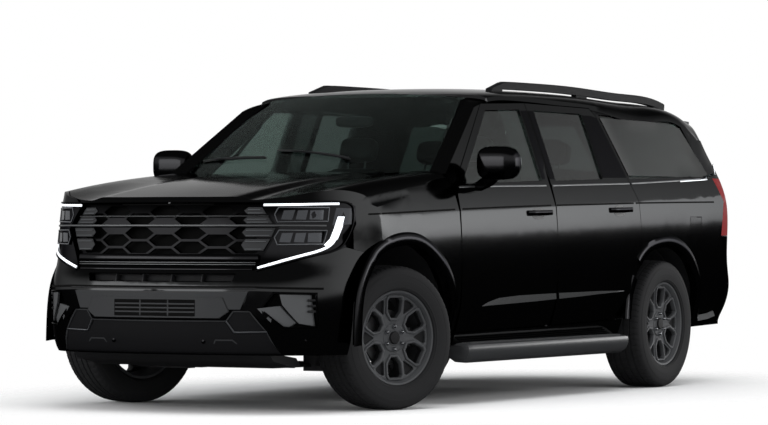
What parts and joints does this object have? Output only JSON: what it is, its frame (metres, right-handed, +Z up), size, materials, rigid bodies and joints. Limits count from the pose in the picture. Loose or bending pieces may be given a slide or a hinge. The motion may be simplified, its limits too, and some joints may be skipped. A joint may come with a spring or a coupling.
{
  "type": "full-size three-row suv",
  "caption": "Full-size three-row suv with a honeycomb grille, roof rails and running boards, whose doors, hood and tailgates open and front wheels steer",
  "frame": {"origin": "on the ground, under the middle of the vehicle's length and width", "axes": "+X forward, +Y to the vehicle's left, +Z up"},
  "size_m": [5.6503, 2.481, 1.8936],
  "materials": {
    "paint": "gloss",
    "glass": "gloss",
    "gloss": "gloss",
    "trim": "matte",
    "lamp": "gloss",
    "tail_lamp": "gloss",
    "tyre": "matte",
    "wheel": "satin",
    "cast": "matte",
    "frame": "satin",
    "underbody": "satin",
    "seat": "satin",
    "leather": "satin"
  },
  "bodies": {
    "body": {"chassis_frame": "frame", "dashboard": "trim", "driveline": "cast", "engine_block": "cast", "exhaust": "cast", "fixed_glass": "glass", "floor_pan": "underbody", "front_bumper": "paint", "front_fenders": "paint", "front_seats": "seat", "front_structure": "underbody", "front_suspension": "cast", "fuel_tank": "trim", "grille": "gloss", "headlamps": "lamp", "middle_seats": "seat", "quarter_panels": "paint", "rear_bumper": "paint", "rear_seats": "seat", "rear_suspension": "cast", "roof_panel": "paint", "roof_rails": "gloss", "running_boards": "trim", "side_frames": "paint", "skid_panel": "trim", "tail_lamps": "tail_lamp"},
    "door_front_left": {"door_front_left": "paint", "glass_front_left": "glass", "mirror_left": "gloss"},
    "door_front_right": {"door_front_right": "paint", "glass_front_right": "glass", "mirror_right": "gloss"},
    "door_rear_left": {"door_rear_left": "paint", "glass_rear_left": "glass"},
    "door_rear_right": {"door_rear_right": "paint", "glass_rear_right": "glass"},
    "hood": {"hood": "paint"},
    "liftgate": {"liftgate": "paint", "liftgate_glass": "glass"},
    "tailgate": {"tailgate": "paint"},
    "fuel_door": {"fuel_door": "paint"},
    "knuckle_left": {"knuckle_left": "cast"},
    "knuckle_right": {"knuckle_right": "cast"},
    "steering_wheel": {"steering_wheel": "leather"},
    "wheel_front_left": {"wheel_front_left": "wheel", "tyre_front_left": "tyre"},
    "wheel_front_right": {"wheel_front_right": "wheel", "tyre_front_right": "tyre"},
    "wheel_rear_left": {"wheel_rear_left": "wheel", "tyre_rear_left": "tyre"},
    "wheel_rear_right": {"wheel_rear_right": "wheel", "tyre_rear_right": "tyre"}
  },
  "joints": [
    {"name": "door_front_left", "type": "hinge", "parent": "body", "child": "door_front_left", "pos_m": [1.145, 0.969, 0.8], "axis": [0, 0, -1], "range_deg": [0, 68]},
    {"name": "door_rear_left", "type": "hinge", "parent": "body", "child": "door_rear_left", "pos_m": [-0.051, 0.969, 0.8], "axis": [0, 0, -1], "range_deg": [0, 70]},
    {"name": "door_front_right", "type": "hinge", "parent": "body", "child": "door_front_right", "pos_m": [1.145, -0.969, 0.8], "axis": [0, 0, 1], "range_deg": [0, 68]},
    {"name": "door_rear_right", "type": "hinge", "parent": "body", "child": "door_rear_right", "pos_m": [-0.051, -0.969, 0.8], "axis": [0, 0, 1], "range_deg": [0, 70]},
    {"name": "hood", "type": "hinge", "parent": "body", "child": "hood", "pos_m": [1.235, 0, 1.33], "axis": [0, -1, 0], "range_deg": [0, 50]},
    {"name": "liftgate", "type": "hinge", "parent": "body", "child": "liftgate", "pos_m": [-2.514, 0, 1.781], "axis": [0, 1, 0], "range_deg": [0, 85]},
    {"name": "tailgate", "type": "hinge", "parent": "body", "child": "tailgate", "pos_m": [-2.809, 0, 0.697], "axis": [0, -1, 0], "range_deg": [0, 90]},
    {"name": "fuel_door", "type": "hinge", "parent": "body", "child": "fuel_door", "pos_m": [-1.899, 1.004, 1], "axis": [0, 0, -1], "range_deg": [0, 90]},
    {"name": "steer_left", "type": "hinge", "parent": "body", "child": "knuckle_left", "pos_m": [1.781, 0.816, 0.401], "axis": [0, 0, 1], "range_deg": [-16, 54]},
    {"name": "steer_right", "type": "hinge", "parent": "body", "child": "knuckle_right", "pos_m": [1.781, -0.816, 0.401], "axis": [0, 0, 1], "range_deg": [-16, 54]},
    {"name": "steering_wheel", "type": "hinge", "parent": "body", "child": "steering_wheel", "pos_m": [0.651, 0.4, 1.12], "axis": [-0.9135, 0, 0.4067], "range_deg": [-260, 870]},
    {"name": "spin_front_left", "type": "hinge", "parent": "knuckle_left", "child": "wheel_front_left", "pos_m": [1.794, 0.8538, 0.401], "axis": [0.3256, 0.9455, 0], "continuous": true},
    {"name": "spin_rear_left", "type": "hinge", "parent": "body", "child": "wheel_rear_left", "pos_m": [-1.562, 0.856, 0.401], "axis": [0, 1, 0], "continuous": true},
    {"name": "spin_front_right", "type": "hinge", "parent": "knuckle_right", "child": "wheel_front_right", "pos_m": [1.768, -0.8538, 0.401], "axis": [0.3256, 0.9455, 0], "continuous": true},
    {"name": "spin_rear_right", "type": "hinge", "parent": "body", "child": "wheel_rear_right", "pos_m": [-1.562, -0.856, 0.401], "axis": [0, 1, 0], "continuous": true}
  ],
  "couplings": [
    {"joint": "steer_right", "follows": "steer_left", "ratio": 1},
    {"joint": "steering_wheel", "follows": "steer_left", "ratio": 16}
  ]
}
